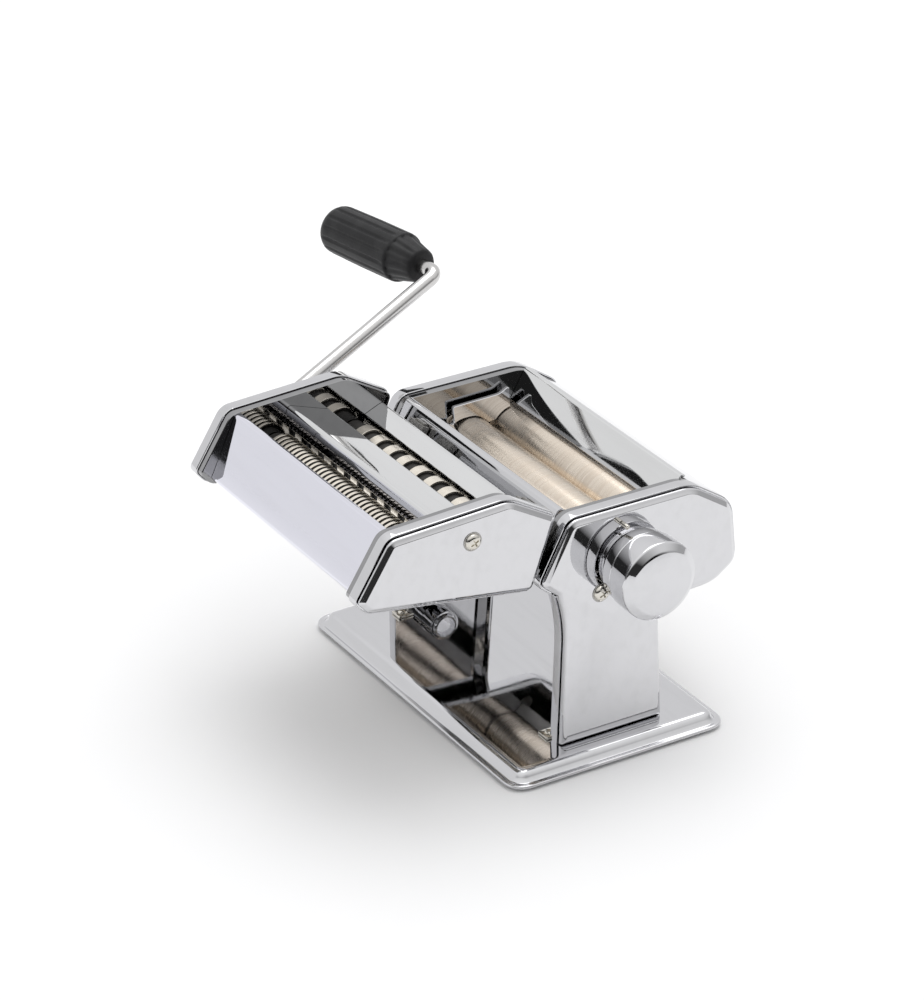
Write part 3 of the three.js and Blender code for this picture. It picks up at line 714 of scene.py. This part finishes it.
@dataclass
class EndPlates:
    """A pair of dished end plates: a lip, a step, a rounded band, a bevel and a flat face."""

    outline: Outline
    label: str
    body: str
    inner: float = 75.0
    levels: tuple[Point, ...] = (
        (75.4, 1.1), (75.1, 0.9), (75.0, 0.6), (75.1, 0.25), (75.4, 0.0), (80.8, 0.0),
        (81.2, 0.12), (81.35, 0.42), (81.2, 0.6), (79.9, 0.66), (79.9, 1.24), (81.9, 1.3),
        (82.3, 1.34), (82.6, 1.42), (82.85, 1.56),
        (83.1, 1.85), (83.22, 2.1), (84.32, 3.75), (84.45, 3.95), (84.5, 4.2), (84.5, 5.0),
    )
    cavity: tuple[Point, ...] = ((70.0, 1.9), (79.6, 1.9), (82.4, 5.6))
    leg: Outline = ()
    leg_levels: tuple[Point, ...] = (
        (75.3, 0.7), (75.0, 0.4), (75.3, 0.0), (80.4, 0.0), (80.75, 0.15), (80.7, 0.4),
        (79.4, 0.5), (79.4, 1.0), (81.6, 1.05), (82.5, 1.15), (83.3, 1.5), (84.0, 2.1), (84.37, 3.0),
        (84.455, 3.3), (84.46, 4.0),
    )
    holes: dict[End, Sequence[tuple[float, float, float]]] = field(default_factory=dict)
    nodes: tuple[str, str] = ("", "")
    bearing_levels: tuple[Point, ...] = ((71.0, 1.3), (71.35, 0.95), (74.6, 0.95), (74.9, 1.3))
    slots: Sequence[tuple[float, float, float]] = ()

    def build(self) -> None:
        """Builds both plates and the bearing walls inside them."""
        for end, node in zip(End, self.nodes):
            form = Form().pressed(self.outline, self.levels, 10)
            if self.leg:
                form.combine(Form().pressed(self.leg, self.leg_levels, 14), Joining.UNION)
                hollow = ((70.0, 1.6), (78.6, 1.6), (82.6, 4.6))
                form.combine(Form().pressed(self.leg, hollow, 14), Joining.CUT)
            form.combine(Form().pressed(self.outline, self.cavity, 10), Joining.CUT)
            for y, z, radius in self.holes.get(end, ()):
                form.combine(rod(radius, 70, 90, y, z), Joining.CUT)
            if end is End.FAR:
                form.moved(MIRROR)
            form.deliver(f"{self.label}_shell_{end.name.lower()}", CHROME, self.body, [node], 32)
            self.bearing(end)

    def bearing(self, end: End) -> None:
        """The flat wall inside a plate, pierced for the journals."""
        form = Form().pressed(self.outline, self.bearing_levels, 8)
        for y, z, radius in self.slots:
            form.combine(rod(radius, 70, 76, y, z, 28), Joining.CUT)
        if end is End.FAR:
            form.moved(MIRROR)
        node = self.nodes[0 if end is End.NEAR else 1].replace("side", "bearing")
        node = node.replace("cutter_plate", "cutter_bearing")
        # The wall takes the darker chrome copy, painted shade for the plate's cavity.
        form.deliver(f"{self.label}_wall_{end.name.lower()}", SHADED_CHROME, self.body, [node], 32)


@dataclass
class PanScrew:
    """A pan-head screw with a cross recess on the face of an end plate."""

    y: float
    z: float
    node: str
    body: str
    end: End
    seat: float = 84.55
    head: tuple[Point, ...] = (
        (-3, 0), (-3, 1.6), (0, 1.6), (0, 4.3), (0.9, 4.25), (1.7, 3.7), (2.2, 2.7), (2.4, 1.4),
        (2.42, 0),
    )
    cross: Corner = (2.4, 4.6, 0.95)
    cross_turn: float = 0.5
    cross_at: float = 2.2
    washer: tuple[Point, ...] = ((0, 2.0), (0, 5.0), (0.35, 5.0), (0.35, 2.0))

    def build(self) -> None:
        """Builds the screw, cuts its cross and puts a washer under it."""
        form = Form().turned(self.head, on_axis(self.y, self.z, self.seat), 48)
        for angle in (self.cross_turn, self.cross_turn + math.pi / 2):
            turn = Matrix.Rotation(angle, 4, "X")
            slot = Matrix.Translation((self.seat + self.cross_at, self.y, self.z)) @ turn
            form.combine(Form().block(self.cross, slot), Joining.CUT)
        if self.end is End.FAR:
            form.moved(MIRROR)
        form.deliver(f"{self.node}_head", NICKEL, self.body, [self.node], 40)
        washer = softened(self.washer, 0.15, True)
        ring = Form().turned(washer, on_axis(self.y, self.z, 84.48, self.end), 40, True)
        ring.deliver(f"{self.node}_washer", STEEL, self.body)


@dataclass
class SheetPanel:
    """A folded sheet between the end plates."""

    name: str
    line: Sequence[Point]
    thick: float
    finish: Finish
    body: str
    half: float = 70.75
    bend: float = 1.1

    def build(self) -> None:
        """Builds the panel."""
        outline = folded(self.line, self.thick, self.bend)
        form = Form().slab(outline, -self.half, self.half)
        form.deliver(f"{self.name}_sheet", self.finish, self.body, [self.name], 30)


@dataclass
class Hopper:
    """The sheeting side: folded panels, end guards and smooth rollers."""

    radius: float = 13.6
    front_y: float = FRONT_AXIS[0]
    rear_y: float = REAR_AXIS[0]
    z: float = FRONT_AXIS[1]
    guard: Outline = (
        (2.5, 124.6, 1.2), (30.7, 125.2, 2), (36.4, 128.4, 2), (38, 112, 1), (3.6, 108, 1),
        (3.2, 117.4, 0.5),
    )

    def build(self) -> None:
        """Builds the panels, the guards and the rollers."""
        front = ((-36.4, 106), (-22.4, 133.2), (-20.6, 133.6), (1.6, 115.4))
        rear = ((40.6, 117.6), (49.6, 133.2), (51.6, 132.6))
        cover = ((64, 77), (75.8, 85.6), (72.3, 117.8), (53.4, 130.4))
        SheetPanel("front_hopper_panel", front, 1.0, CHROME, "frame").build()
        SheetPanel("rear_hopper_panel", rear, 1.0, LIT_CHROME, "frame").build()
        SheetPanel("rear_cover", cover, 1.0, CHROME, "frame", 74.6, 2.5).build()
        for end in End:
            self.end_guard(end)
        self.roller("front_roller", self.front_y, "front_roller", 77.5)
        self.roller("rear_roller", self.rear_y, "rear_roller", 76.0)

    def end_guard(self, end: End) -> None:
        """A shoe over both roller ends."""
        form = Form().slab(self.guard, 66.5, 68.5, 0.3)
        for y in (self.front_y, self.front_y - FRONT_TRAVEL, self.rear_y):
            form.combine(rod(self.radius + 0.6, 60, 75, y, self.z, 72), Joining.CUT)
        if end is End.FAR:
            form.moved(MIRROR)
        side = end.name.lower()
        form.deliver(f"guard_shoe_{side}", CHROME, "frame", [f"{side}_end_guard"], 32)

    def roller(self, node: str, y: float, body: str, near_end: float) -> None:
        """A smooth roller with its journals."""
        far, half, r = -81.6, 70.4, self.radius
        profile = [
            (far, 0), (far, 5), (-half, 5), (-half, r), (half, r), (half, 5), (near_end, 5),
            (near_end, 0),
        ]
        form = Form().turned(softened(profile, 0.5), on_axis(y, self.z), 128)
        form.deliver(f"{node}_barrel", ROLLER, body, [node], 40)


@dataclass
class Socket:
    """The mouth of a driven shaft: a hub with a six-sided hole."""

    radius: float = 6.2
    hex_radius: float = 3.9
    mouth: float = 86.0

    def hub(self, form: Form, y: float, z: float, inside: float, floor: float) -> Form:
        """Adds the hub to a shaft at the far end and cuts its hole."""
        profile = [(inside, 0), (inside, self.radius), (self.mouth, self.radius), (self.mouth, 0)]
        place = on_axis(y, z, end=End.FAR)
        form.combine(Form().turned(softened(profile, 0.5), place, 48), Joining.UNION)
        hole = rod(self.hex_radius, floor, self.mouth + 2, y, z, 6).moved(MIRROR)
        return form.combine(hole, Joining.CUT)

    def sleeve(self, name: str, y: float, z: float, body: str) -> None:
        """A bright sleeve round a hub that is part of the frame's own node."""
        ring = [(81.6, 6.15), (81.6, 6.45), (86.12, 6.45), (86.12, 4.3), (86.02, 4.3), (86.02, 6.15)]
        place = on_axis(y, z, end=End.FAR)
        Form().turned(softened(ring, 0.2, True), place, 48, True).deliver(name, NICKEL, body)


@dataclass
class CuttingPair:
    """Two cutting rollers whose rings pass between each other."""

    label: str
    y: float
    z: float
    step: float
    ring: float
    pitch: float = CUTTER_PITCH
    radius: float = 9.9
    core: float = 7.8
    journal: float = 5.4
    gear_end: End = End.FAR

    def profile(self, shift: float, near: float, far: float) -> list[Point]:
        """The turned profile of one roller, its rings moved along by shift."""
        half, limit, edge = 70.4, 66.0, 0.14
        line: list[Point] = [(-far, 0), (-far, self.journal), (-half, self.journal), (-half, self.core)]
        x = -limit + shift
        while x + self.ring <= limit + 0.1:
            line += [
                (x, self.core), (x, self.radius - edge), (x + edge, self.radius),
                (x + self.ring - edge, self.radius), (x + self.ring, self.radius - edge),
                (x + self.ring, self.core),
            ]
            x += self.step
        line += [(half, self.core), (half, self.journal), (near, self.journal), (near, 0)]
        return line

    def finish(self, index: int) -> Finish:
        """The finish of the front (0) or rear (1) roller, centred on its axis."""
        axis = TO_FRAME @ Vector((0, self.y + index * self.pitch, self.z))
        return Ringed(
            f"{self.label} rings {index + 1}", "roller_satin", tint=(0.90, 0.85, 0.76),
            groove=(0.70, 0.63, 0.53), gloss=0.2, pitch=0.0007, y=axis.y, z=axis.z,
            edge=(self.radius - 0.9) / 1000,
        )

    def build(self) -> None:
        """Builds the front roller and the rear, driven one."""
        plain, geared = 74.3, 81.5
        near, far = (plain, geared) if self.gear_end is End.FAR else (geared, plain)
        front = Form().turned(self.profile(0, near, far), on_axis(self.y, self.z), 56)
        front.deliver(
            f"{self.label}_rings_front", self.finish(0), f"{self.label}_front",
            [f"{self.label}_cutter_front"], 30,
        )
        y = self.y + self.pitch
        rear = Form().turned(self.profile(self.step / 2, near, 81.9), on_axis(y, self.z), 56)
        Socket().hub(rear, y, self.z, 81.6, 71.5)
        rear.deliver(
            f"{self.label}_rings_rear", self.finish(1), f"{self.label}_rear",
            [f"{self.label}_cutter_rear"], 30,
        )


@dataclass
class GapKnob:
    """The pull-out knob that sets the gap, with its collar and index pin."""

    y: float = FRONT_AXIS[0]
    z: float = FRONT_AXIS[1]
    cap: tuple[Point, ...] = (
        (109, 0), (109, 5.3), (95.3, 5.3), (95.3, 20.4), (95.9, 21), (107.4, 21), (108.1, 20.85),
        (108.5, 20.4), (110.5, 17.4), (110.75, 16.9), (110.95, 16.3), (111.5, 14.2),
        (112.05, 11.5), (112.5, 8.6), (112.8, 5.6), (112.95, 2.8), (113, 0),
    )
    collar: tuple[Point, ...] = (
        (84.8, 8), (84.8, 17), (87.6, 17), (88.1, 19.9), (94.6, 20.2), (95, 19.6), (95, 8),
    )

    def build(self) -> None:
        """Builds the cap, the collar and the pin."""
        place = on_axis(self.y, self.z)
        cap = Form().turned(softened(self.cap, 0.25), place, 96)
        cap.deliver("knob_cap", CHROME, "knob", ["gap_knob"], 38)
        ring = Form().turned(softened(self.collar, 0.5, True), place, 96, True)
        ring.deliver("knob_collar_ring", CHROME, "frame", ["knob_collar"], 38)
        pin = [(84.8, 0), (84.8, 1.3), (90, 1.3), (90, 0)]
        form = Form().turned(softened(pin, 0.45), on_axis(self.y - 6.8, self.z + 23), 24)
        form.deliver("index_pin_peg", NICKEL, "frame", ["index_pin"])


@dataclass
class Bushes:
    """The ring round the drive socket and the clamp's bush in the far leg."""

    pinion: Point
    clamp: Point = CLAMP_AXIS

    def build(self) -> None:
        """Builds both bushes and the bright sleeve of the pinion."""
        ring = [(83.1, 6.5), (83.1, 8.5), (85.4, 8.5), (85.4, 6.5)]
        place = on_axis(*self.pinion, end=End.FAR)
        form = Form().turned(softened(ring, 0.4, True), place, 64, True)
        form.deliver("drive_bush_ring", NICKEL, "frame", ["drive_bush"])
        Socket().sleeve("pinion_sleeve", *self.pinion, "pinion")
        bush = [
            (71, 5.5), (71, 6.6), (71.7, 7.2), (72.4, 7.2), (72.7, 8.5), (85.3, 8.5), (85.3, 5.5),
        ]
        place = on_axis(*self.clamp, end=End.FAR)
        form = Form().turned(softened(bush, 0.35, True), place, 64, True)
        form.deliver("clamp_bush_ring", CHROME, "frame", ["clamp_bush"])


@dataclass
class Crank:
    """The bent rod, its six-sided plug and the ribbed grip."""

    hub: tuple[float, float, float] = (-94.5, -99.8, 127.0)
    lean: float = math.radians(7.6)
    rise: float = math.radians(23.2)
    arm: float = 131.6
    radius: float = 4.0
    reach: float = 5.4
    grip_profile: tuple[Point, ...] = (
        (12.5, 3.6), (12.5, 7.2), (13.0, 8.4), (14.2, 9.2), (28.0, 12.4), (28.4, 12.9),
        (28.9, 13.3), (29.8, 13.5), (55, 13.55), (80.5, 13.2), (82.6, 12.9), (84.6, 11.9),
        (86.4, 10.2), (87.8, 7.6), (88.7, 4.2), (89.0, 0), (81, 0), (81, 3.6),
    )
    ribs: int = 14
    neck: Point = (13.5, 28.2)
    neck_flute: float = 0.55
    barrel: Point = (29.5, 83.0)
    barrel_flute: float = 1.0

    def directions(self) -> tuple[Vector, Vector]:
        """The unit vectors along the arm and along the handle."""
        up = Vector((0, math.cos(self.rise), math.sin(self.rise)))
        out = Vector((-1, 0, 0))
        arm = up * math.cos(self.lean) + out * math.sin(self.lean)
        handle = out * math.cos(self.lean) - up * math.sin(self.lean)
        return arm, handle

    def build(self) -> None:
        """Builds the rod with its plug, then the grip."""
        arm, handle = self.directions()
        hub = Vector(self.hub)
        elbow = hub + arm * self.arm
        stops = [hub.copy(), hub, elbow, elbow + handle * 18]
        stops[0].x = -86.3
        form = self.bent_rod(stops)
        plug = [(71.9, 0), (71.9, 3.1), (72.6, 3.5), (87.0, 3.5), (87.0, 0)]
        form.turned(plug, on_axis(hub.y, hub.z, end=End.FAR), 6)
        form.deliver("crank_bar", ROD, "crank", ["crank_rod"], 45)
        self.grip(elbow, handle)

    def bent_rod(self, stops: Sequence[Vector]) -> Form:
        """A round rod through the stops, with a smooth bend at each inner one."""
        form = Form()
        heading = (stops[1] - stops[0]).normalized()
        place = Matrix.Translation(stops[0]) @ heading.to_track_quat("Z", "Y").to_matrix().to_4x4()
        made = bmesh.ops.create_circle(form.bm, segments=40, radius=self.radius, matrix=place)
        edges = list({e for v in made["verts"] for e in v.link_edges})
        bmesh.ops.contextual_create(form.bm, geom=edges)
        here = stops[0]
        for corner, after in pairwise(stops[1:]):
            onward = (after - corner).normalized()
            edges, here = self.run(form, edges, here, corner - heading * self.reach)
            angle = heading.angle(onward)
            radius = self.reach / math.tan(angle / 2)
            side = (onward - heading * heading.dot(onward)).normalized()
            verts = list({v for e in edges for v in e.verts})
            spun = bmesh.ops.spin(
                form.bm, geom=verts + edges, cent=here + side * radius,
                axis=heading.cross(onward).normalized(), dvec=(0, 0, 0), angle=angle, steps=12,
                use_merge=False, use_duplicate=False,
            )
            edges = [g for g in spun["geom_last"] if isinstance(g, bmesh.types.BMEdge)]
            here, heading = corner + onward * self.reach, onward
        edges, here = self.run(form, edges, here, stops[-1])
        bmesh.ops.contextual_create(form.bm, geom=edges)
        return form

    def run(
        self, form: Form, edges: list[bmesh.types.BMEdge], start: Vector, end: Vector
    ) -> tuple[list[bmesh.types.BMEdge], Vector]:
        """Carries the open end of the rod straight on from start to end."""
        grown = bmesh.ops.extrude_edge_only(form.bm, edges=edges)["geom"]
        verts = [g for g in grown if isinstance(g, bmesh.types.BMVert)]
        bmesh.ops.translate(form.bm, verts=verts, vec=end - start)
        fresh = set(verts)
        rim = [g for g in grown if isinstance(g, bmesh.types.BMEdge) and fresh.issuperset(g.verts)]
        return rim, end

    def flute_depth(self, x: float, angle: float) -> float:
        """How deep the flutes are cut at x; angle runs through a full turn per rib."""
        if x < self.neck[1]:
            return self.neck_flute * abs(math.sin(angle / 2)) ** 3 * min(1, (x - self.neck[0]) / 4)
        start, end = self.barrel
        fade = min(1, max(0, x - start) / 3) * min(1, max(0, end - x) / 4)
        return self.barrel_flute * max(0.0, math.cos(angle) - 0.35) ** 0.7 * fade

    def grip(self, elbow: Vector, handle: Vector) -> None:
        """The grip: a faceted neck, a step and a ribbed barrel with a domed end."""
        profile: list[Point] = []
        line = self.grip_profile
        for (x0, r0), (x1, r1) in zip(line, line[1:] + line[:1]):
            cuts = max(1, round(abs(x1 - x0) / 3)) if min(r0, r1) > 8 else 1
            profile += [
                (x0 + (x1 - x0) * i / cuts, r0 + (r1 - r0) * i / cuts) for i in range(cuts)
            ]
        form = Form().turned(profile, Matrix.Identity(4), 196, True)
        for vert in form.bm.verts:
            x, y, z = vert.co
            radius = math.hypot(y, z)
            if radius >= 7.5 and self.neck[0] < x < 86:
                depth = self.flute_depth(x, math.atan2(z, y) * self.ribs)
                vert.co.yz *= (radius - depth) / radius
        turn = handle.to_track_quat("X", "Z").to_matrix().to_4x4()
        form.moved(Matrix.Translation(elbow) @ turn)
        form.deliver("crank_handle", GRIP, "grip", ["crank_grip"], 50)


# ------------------------------------------------------------------ studio
@dataclass
class Studio:
    """A pale floor, soft light from all round and the camera."""

    azimuth: float = math.radians(58.0)
    elevation: float = math.radians(27.8)
    roll: float = math.radians(0.5)
    distance: float = 1950.0
    aim: tuple[float, float, float] = (32.2, -53.4, 130.7)
    lens: float = 144.0
    lamp_at: tuple[float, float, float] = (-0.5, 0.6, 2.6)
    lamp_side: float = 2.2
    lamp_power: float = 24.0

    def build(self) -> None:
        """Builds the floor, the world, the lamp and the camera."""
        bpy.context.scene.view_settings.view_transform = "Standard"
        self.floor()
        self.world()
        self.lamp()
        self.camera()

    def floor(self) -> None:
        """A wide matt floor."""
        made = bmesh.new()
        bmesh.ops.create_grid(made, x_segments=1, y_segments=1, size=6.0)
        mesh = bpy.data.meshes.new("floor")
        made.to_mesh(mesh)
        made.free()
        surface = bpy.data.materials.new("pale floor")
        surface.use_nodes = True
        graph = Graph(surface.node_tree)
        fleck = graph.noise((3, 3, 3), 3)
        graph.surface(
            {
                "Base Color": graph.blend(fleck, (0.93, 0.93, 0.935), (0.95, 0.95, 0.95)),
                "Roughness": 1.0,
                "Specular IOR Level": 0.0,
            }
        )
        mesh.materials.append(surface)
        floor = bpy.data.objects.new("floor", mesh)
        bpy.context.scene.collection.objects.link(floor)

    def world(self) -> None:
        """A bright room that is dark on the side of the camera and low down."""
        world = bpy.data.worlds.new("studio")
        bpy.context.scene.world = world
        world.use_nodes = True
        graph = Graph(world.node_tree)
        look = graph.add("ShaderNodeTexCoord").outputs["Generated"]
        axes = graph.add("ShaderNodeSeparateXYZ", None, {0: look})
        x, y, z = (Value(graph, socket) for socket in axes.outputs)
        toward = x * math.sin(self.azimuth) - y * math.cos(self.azimuth)
        behind = ((toward - 0.35) * 3.2).clamped()
        low = ((0.62 - z) * 3.0).clamped()
        side = ((y - 0.15) * 2.5).clamped() * ((x + 0.2) * 2.5).clamped()
        side = side * ((0.5 - z) * 3.0).clamped()
        level = 1.08 - behind * low * 1.04 - side * 0.5
        top = ((z - 0.55) * 2.2).clamped()
        strength = (level + top * 0.45).clamped() * 0.86 + top * 0.26
        tint = graph.blend(toward * -0.5 + 0.3, (1.0, 1.0, 1.0), (0.985, 0.985, 1.0))
        light = graph.add("ShaderNodeBackground", None, {0: tint, 1: strength})
        graph.add("ShaderNodeOutputWorld", None, {0: light.outputs[0]})

    def lamp(self) -> None:
        """One large soft lamp above."""
        data = bpy.data.lights.new("soft box", "AREA")
        data.shape, data.size, data.energy = "SQUARE", self.lamp_side, self.lamp_power
        lamp = bpy.data.objects.new("soft box", data)
        lamp.location = self.lamp_at
        aim = Vector((0, 0, 0.1)) - lamp.location
        lamp.rotation_mode = "QUATERNION"
        lamp.rotation_quaternion = aim.to_track_quat("-Z", "Y")
        bpy.context.scene.collection.objects.link(lamp)

    def camera(self) -> None:
        """A long lens at the viewing angle."""
        a, e, r = self.azimuth, self.elevation, self.roll
        back = Vector((math.sin(a) * math.cos(e), -math.cos(a) * math.cos(e), math.sin(e)))
        right = Vector((math.cos(a), math.sin(a), 0))
        up = back.cross(right)
        across = right * math.cos(r) + up * math.sin(r)
        upright = up * math.cos(r) - right * math.sin(r)
        data = bpy.data.cameras.new("camera")
        data.lens, data.sensor_width, data.sensor_fit = self.lens, 36.0, "AUTO"
        data.clip_start, data.clip_end = 0.05, 50.0
        camera = bpy.data.objects.new("camera", data)
        spot = TO_FRAME @ (Vector(self.aim) + back * self.distance)
        turn = Matrix((across, upright, back)).transposed().to_4x4()
        camera.matrix_world = Matrix.Translation(spot) @ turn
        bpy.context.scene.collection.objects.link(camera)
        bpy.context.scene.camera = camera


def dress_hidden_nodes() -> None:
    """Gives each of the frame's own nodes the finish of its material slot."""
    by_slot = {
        "chrome_plate": CHROME, "bright_steel": STEEL, "roller_satin": ROLLER,
        "nickel_plate": NICKEL, "rubber": RUBBER, "black_plastic": GRIP,
    }
    for part in frame["record"]["subparts"]:
        node = frame["nodes"][part["node"]]
        node.data.materials.clear()
        node.data.materials.append(by_slot[part["material_slot"]].material())
        LOG.info("%s keeps its own shape, in %s", part["node"], part["material_slot"])


def main() -> None:
    """Builds the machine piece by piece, then the studio."""
    logging.basicConfig(level=logging.INFO, format="%(message)s")
    dress_hidden_nodes()
    pinion = pinion_axis()
    moved_axis = (FRONT_AXIS[0] - FRONT_TRAVEL, FRONT_AXIS[1])
    cutter_axes = [(y + shift, z) for y, z in (NARROW_AXIS, WIDE_AXIS) for shift in (0, CUTTER_PITCH)]
    BasePan().build()
    EndPlates(
        BODY_OUTLINE, "body", "frame", leg=LEG_OUTLINE,
        holes={End.NEAR: [(*FRONT_AXIS, 5.6)], End.FAR: [(*pinion, 8.7), (*CLAMP_AXIS, 8.6)]},
        nodes=("near_side_plate", "far_side_plate"),
        slots=[(*FRONT_AXIS, 5.6), (*moved_axis, 5.6), (*REAR_AXIS, 5.35), (*pinion, 4.35)],
    ).build()
    EndPlates(
        HEAD_OUTLINE, "head", "cutter_head",
        holes={End.FAR: [(*axis, 6.6) for axis in cutter_axes[1::2]]},
        nodes=("near_cutter_plate", "far_cutter_plate"),
        slots=[(*axis, 5.7) for axis in cutter_axes],
    ).build()
    for end in End:
        side = end.name.lower()
        PanScrew(-5.6, 90.3, f"{side}_plate_screw", "frame", end).build()
        PanScrew(-80, 139.3, f"{side}_cutter_screw", "cutter_head", end).build()
    Hopper().build()
    SheetPanel("cutter_front_panel", FRONT_PANEL, -1.0, LIT_BLUISH_CHROME, "cutter_head").build()
    SheetPanel("cutter_ridge", RIDGE, -1.0, LIT_CHROME, "cutter_head").build()
    SheetPanel("cutter_rear_panel", REAR_PANEL, -1.0, LIT_CHROME, "cutter_head").build()
    CuttingPair("narrow", *NARROW_AXIS, 3.6, 1.8).build()
    CuttingPair(
        "wide", *WIDE_AXIS, 13.0, 6.3, radius=9.2, core=7.2, gear_end=End.NEAR
    ).build()
    GapKnob().build()
    Bushes(pinion).build()
    Crank().build()
    Studio().build()


if __name__ == "__main__":
    main()
